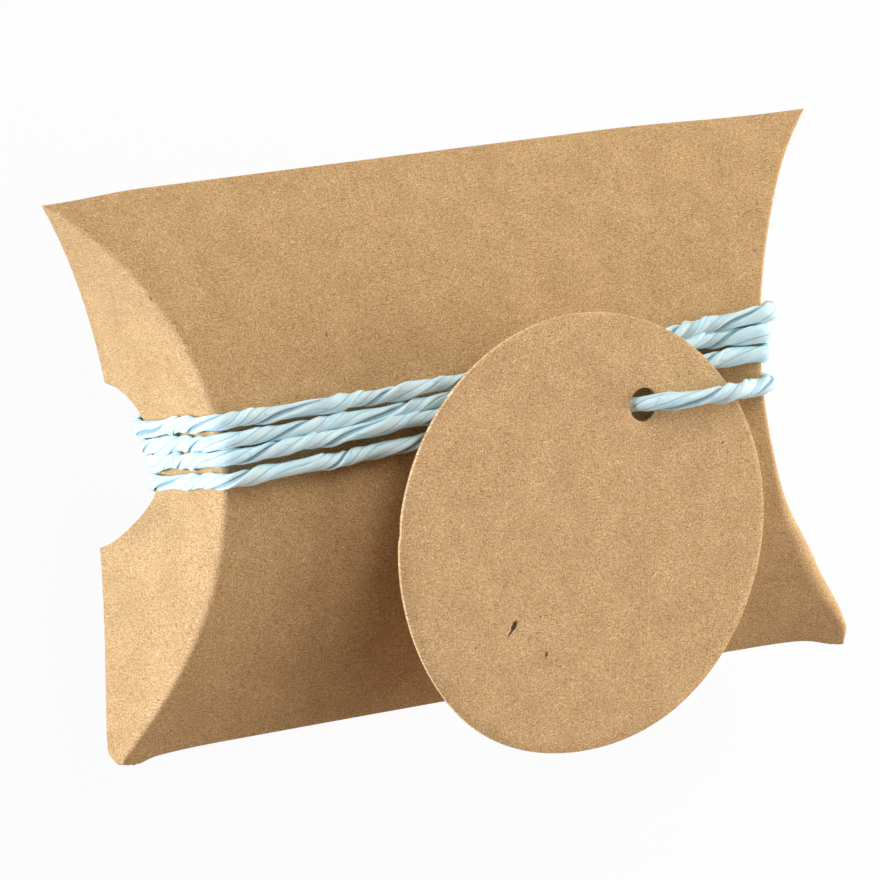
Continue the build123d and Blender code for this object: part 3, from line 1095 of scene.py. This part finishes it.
for end, word in ((LEFT, "left"), (RIGHT, "right")):
    spread = LOWER_FLARE if end == LEFT else 0.0
    outer = flap_card(word + "_outer_flap_card", end, FRONT_SIDE, outer_far, HEIGHT, spread)
    dress(outer, KRAFT, None, word + "_outer_flap")
    crease_blend(outer)
    span = HEIGHT / 2 - INNER_FLAP_TRIM
    inner = flap_card(word + "_inner_flap_card", end, BACK_SIDE, inner_far, span)
    dress(inner, KRAFT, None, word + "_inner_flap")
    crease_blend(inner)

dress(tag_piece("hang_tag"), TAG_KRAFT, "tag", "tag")

winding = spline_points(held_route(route_points()))
print("drawn winding, mm", round(STEP * (len(winding) - 1) / MM, 1))
dress(twisted("twine_winding", winding), TWINE_PAPER, "twine", "twine")
tie = spline_points(knot_lines())
dress(twisted("twine_tie", tie), TWINE_PAPER, "twine", "twine_knot")

# Floor

FLOOR_HALF = 3.0
floor_corners = [(x * FLOOR_HALF, y * FLOOR_HALF, 0) for x, y in ((-1, -1), (1, -1), (1, 1), (-1, 1))]
floor_mesh = bpy.data.meshes.new("floor")
floor_mesh.from_pydata(floor_corners, [], [(0, 1, 2, 3)])
floor = bpy.data.objects.new("floor", floor_mesh)
floor.data.materials.append(floor_material())
bpy.context.scene.collection.objects.link(floor)

# Light: round soft boxes, each with the way to it, its diameter, power in watts and colour

LAMP_DISTANCE = 0.8
LAMPS = (
    ("key", (0.41, 0.70, 0.58), 0.80, 4.9, (1, 1.02, 1.04)),
    ("low_key", (0.955, -0.13, 0.23), 0.50, 6.9, (1.02, 1.01, 1.02)),
    ("side", (-0.99, 0.05, 0.02), 0.30, 10.4, (1, 1.08, 1.27)),
)
AMBIENT_COLOUR, AMBIENT_STRENGTH = (1, 0.60, 0.40, 1), 0.19
MIDDLE = Vector((0, 0, MID_Z))


def lamp(name, way, size, power, colour):
    light = bpy.data.lights.new(name, "AREA")
    light.shape = "DISK"
    light.size = size
    light.energy = power
    light.color = colour
    thing = bpy.data.objects.new(name, light)
    way = Vector(way).normalized()
    thing.location = MIDDLE + way * LAMP_DISTANCE
    thing.rotation_euler = way.to_track_quat("Z", "Y").to_euler()
    bpy.context.scene.collection.objects.link(thing)


for row in LAMPS:
    lamp(*row)

world = bpy.data.worlds.new("studio")
bpy.context.scene.world = world
world.use_nodes = True
tree = world.node_tree
tree.nodes.clear()
ambient = tree.nodes.new("ShaderNodeBackground")
ambient.inputs[0].default_value = AMBIENT_COLOUR
ambient.inputs[1].default_value = AMBIENT_STRENGTH
white = tree.nodes.new("ShaderNodeBackground")
white.inputs[0].default_value = WHITE
white.inputs[1].default_value = 1.0
rays = tree.nodes.new("ShaderNodeLightPath")
both = tree.nodes.new("ShaderNodeMixShader")
result = tree.nodes.new("ShaderNodeOutputWorld")
tree.links.new(rays.outputs["Is Camera Ray"], both.inputs[0])
tree.links.new(ambient.outputs[0], both.inputs[1])
tree.links.new(white.outputs[0], both.inputs[2])
tree.links.new(both.outputs[0], result.inputs[0])

# Camera, fitted to the creases, the corner tips and the tag's outline in the photo

AZIMUTH, ELEVATION, ROLL = radians(-30.539), radians(3.71), radians(-6.434)
DISTANCE = 0.8
IMAGE_PX = 880.0
FOCAL_PX = 6746.6
SHIFT_X_PX, SHIFT_Y_PX = 7.15, -12.577
SENSOR_MM = 36.0
CLIP_END = 20.0

back = Vector((sin(AZIMUTH) * cos(ELEVATION), sin(ELEVATION), cos(AZIMUTH) * cos(ELEVATION)))
right = (-back).cross(Vector((0, 1, 0))).normalized()
up = right.cross(-back)
cam_x = right * cos(ROLL) + up * sin(ROLL)
cam_y = -right * sin(ROLL) + up * cos(ROLL)
lens = bpy.data.cameras.new("camera")
lens.sensor_width = SENSOR_MM
lens.lens = FOCAL_PX / IMAGE_PX * SENSOR_MM
lens.shift_x = -SHIFT_X_PX / IMAGE_PX
lens.shift_y = SHIFT_Y_PX / IMAGE_PX
lens.clip_end = CLIP_END
camera = bpy.data.objects.new("camera", lens)
turn = Matrix((cam_x, cam_y, back)).transposed().to_4x4()
camera.matrix_world = Matrix.Translation(MIDDLE + back * DISTANCE) @ turn
bpy.context.scene.collection.objects.link(camera)
bpy.context.scene.camera = camera

bpy.context.scene.view_settings.view_transform = "Standard"
